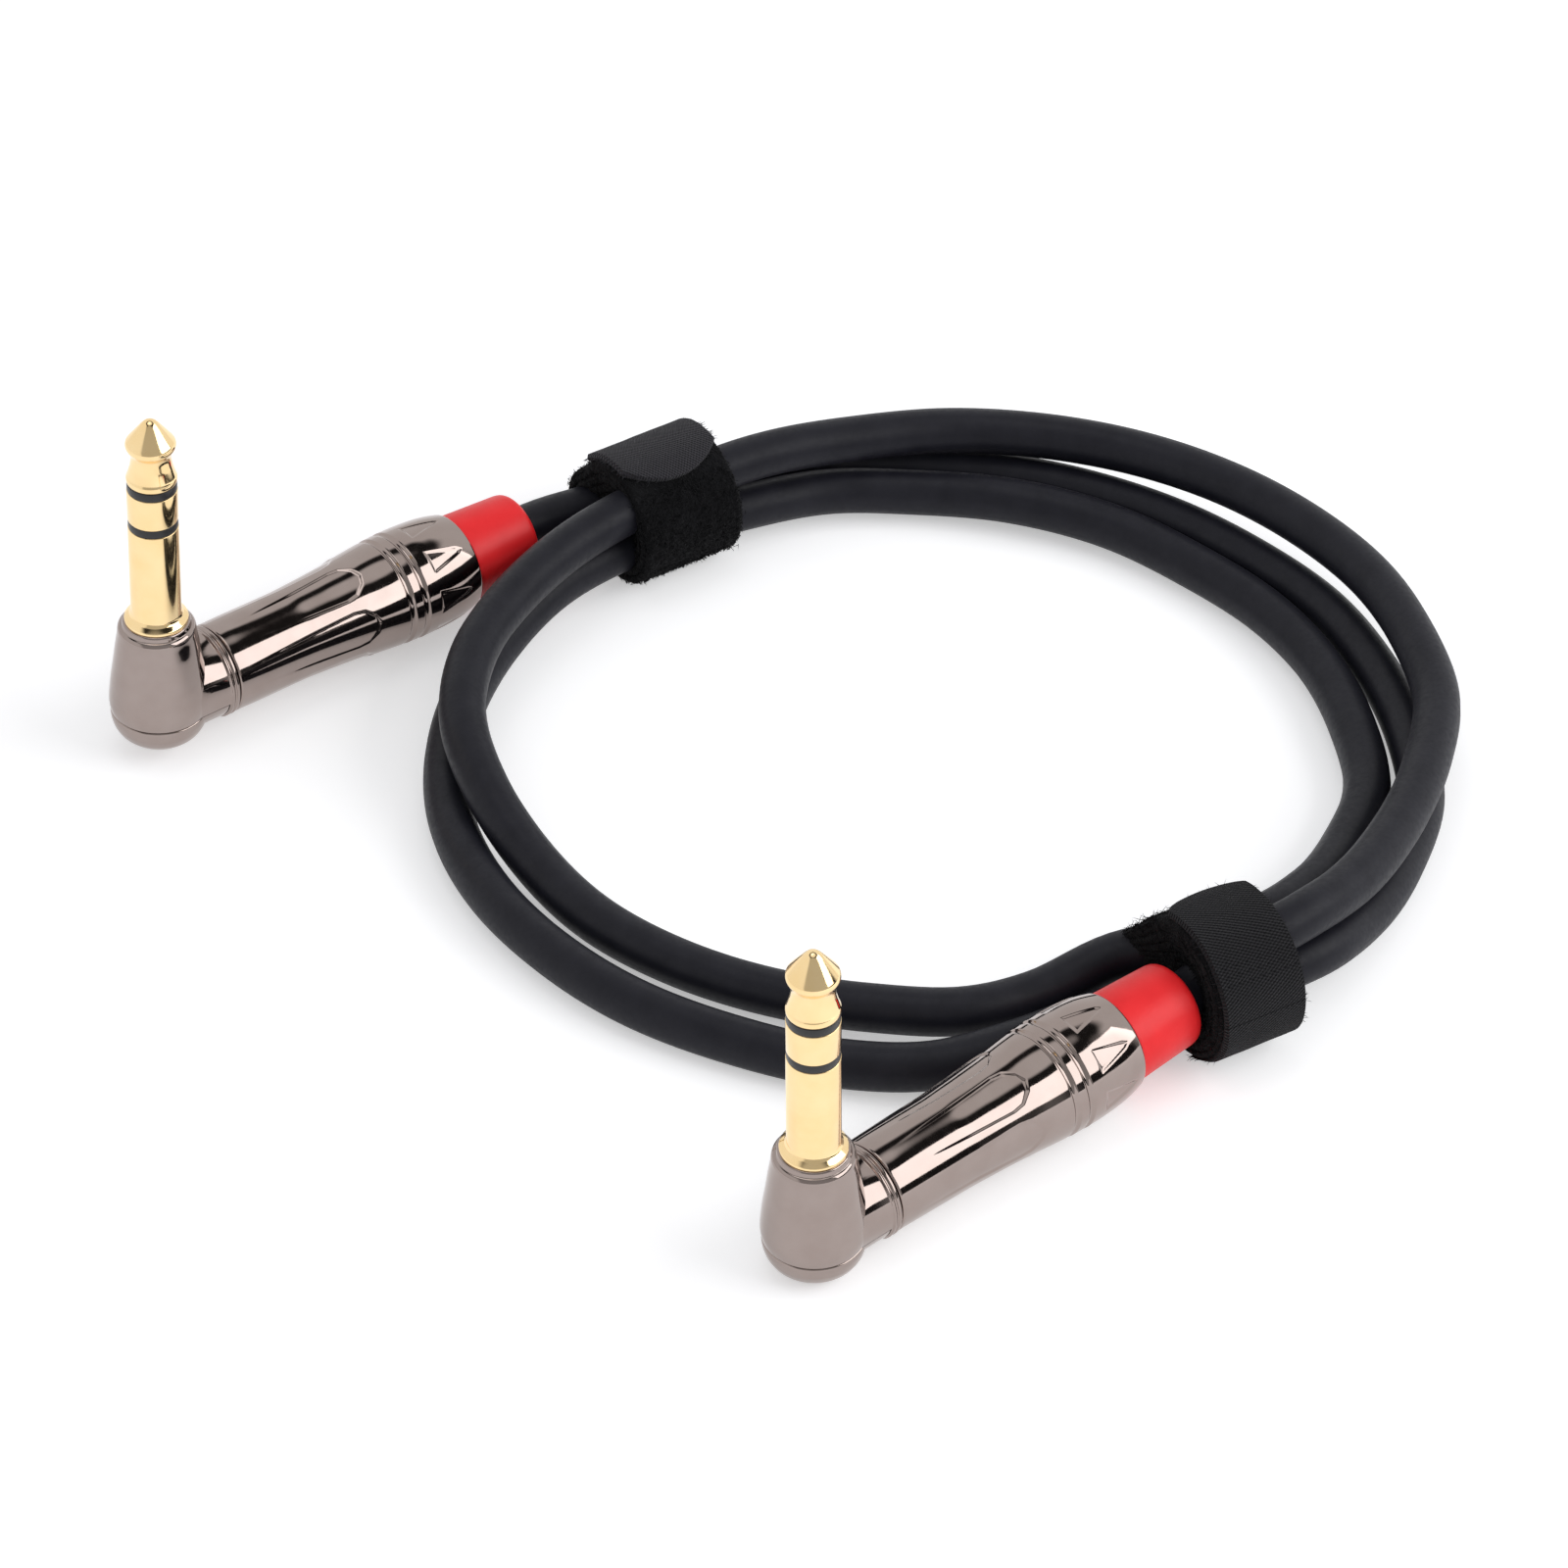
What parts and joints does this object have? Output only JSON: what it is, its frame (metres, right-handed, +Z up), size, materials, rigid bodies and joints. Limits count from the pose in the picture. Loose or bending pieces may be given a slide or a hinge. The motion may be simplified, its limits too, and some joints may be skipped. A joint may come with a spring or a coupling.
{
  "type": "instrument cable",
  "caption": "Coiled shielded cord with a right-angle quarter-inch stereo plug on each end, held by hook-and-loop ties.",
  "frame": {"origin": "on the floor under the middle of the box around the plugs and ties", "axes": "+Z up; +Y away from the front plug towards the back of the coil; both barrels point about 40 degrees from +X towards +Y"},
  "size_m": [0.169, 0.1613, 0.0504],
  "materials": {
    "gold_plate": "polished gold plate",
    "black_plastic": "satin",
    "ivory_plastic": "satin",
    "tinned_brass": "tinned",
    "black_nickel": "polished black nickel",
    "white_plastic": "satin",
    "red_rubber": "satin",
    "red_wire": "satin",
    "white_wire": "satin",
    "bare_copper": "bare copper strands",
    "cord_jacket": "matte",
    "loop_tape": "napped loop pile",
    "hook_tape": "woven back of hook tape"
  },
  "bodies": {
    "cord_and_contacts": {"front_tip_contact": "gold_plate", "front_tip_insulator": "black_plastic", "front_ring_contact": "gold_plate", "front_ring_insulator": "black_plastic", "front_sleeve_contact": "gold_plate", "front_terminal_insulator": "ivory_plastic", "front_tip_terminal": "tinned_brass", "front_ring_terminal": "tinned_brass", "front_sleeve_terminal": "tinned_brass", "front_elbow_housing": "black_nickel", "front_elbow_cover": "black_nickel", "front_tip_wire": "red_wire", "front_ring_wire": "white_wire", "front_shield_wire": "bare_copper", "rear_tip_contact": "gold_plate", "rear_tip_insulator": "black_plastic", "rear_ring_contact": "gold_plate", "rear_ring_insulator": "black_plastic", "rear_sleeve_contact": "gold_plate", "rear_terminal_insulator": "ivory_plastic", "rear_tip_terminal": "tinned_brass", "rear_ring_terminal": "tinned_brass", "rear_sleeve_terminal": "tinned_brass", "rear_elbow_housing": "black_nickel", "rear_elbow_cover": "black_nickel", "rear_tip_wire": "red_wire", "rear_ring_wire": "white_wire", "rear_shield_wire": "bare_copper", "cable_jacket": "cord_jacket", "front_tie_loop": "loop_tape", "rear_tie_loop": "loop_tape"},
    "front_chuck": {"front_cable_chuck": "white_plastic", "front_boot": "red_rubber"},
    "front_barrel": {"front_barrel_shell": "black_nickel"},
    "rear_chuck": {"rear_cable_chuck": "white_plastic", "rear_boot": "red_rubber"},
    "rear_barrel": {"rear_barrel_shell": "black_nickel"},
    "front_hook_tape": {"front_tie_hook": "hook_tape"},
    "rear_hook_tape": {"rear_tie_hook": "hook_tape"}
  },
  "joints": [
    {"name": "front_barrel_advance", "type": "slide", "parent": "cord_and_contacts", "child": "front_chuck", "axis": [0.7609, 0.6476, 0.0419], "range_m": [0, 0.001]},
    {"name": "front_barrel_turn", "type": "hinge", "parent": "front_chuck", "child": "front_barrel", "pos_m": [0.03779, -0.05122, 0.00745], "axis": [0.7609, 0.6476, 0.0419], "range_deg": [0, 360]},
    {"name": "rear_barrel_advance", "type": "slide", "parent": "cord_and_contacts", "child": "rear_chuck", "axis": [0.7793, 0.6265, -0.014], "range_m": [0, 0.001]},
    {"name": "rear_barrel_turn", "type": "hinge", "parent": "rear_chuck", "child": "rear_barrel", "pos_m": [-0.04345, 0.04512, 0.00738], "axis": [0.7793, 0.6265, -0.014], "range_deg": [0, 360]},
    {"name": "front_tie_peel", "type": "hinge", "parent": "cord_and_contacts", "child": "front_hook_tape", "pos_m": [0.06314, -0.04015, 0.00988], "axis": [0.8572, 0.515, 0], "range_deg": [0, 70]},
    {"name": "rear_tie_peel", "type": "hinge", "parent": "cord_and_contacts", "child": "rear_hook_tape", "pos_m": [-0.01374, 0.06631, 0.01451], "axis": [-0.829, -0.5592, 0], "range_deg": [0, 70]}
  ],
  "couplings": [
    {"joint": "front_barrel_turn", "follows": "front_barrel_advance", "rad_per_m": 6283.2},
    {"joint": "rear_barrel_turn", "follows": "rear_barrel_advance", "rad_per_m": 6283.2}
  ]
}
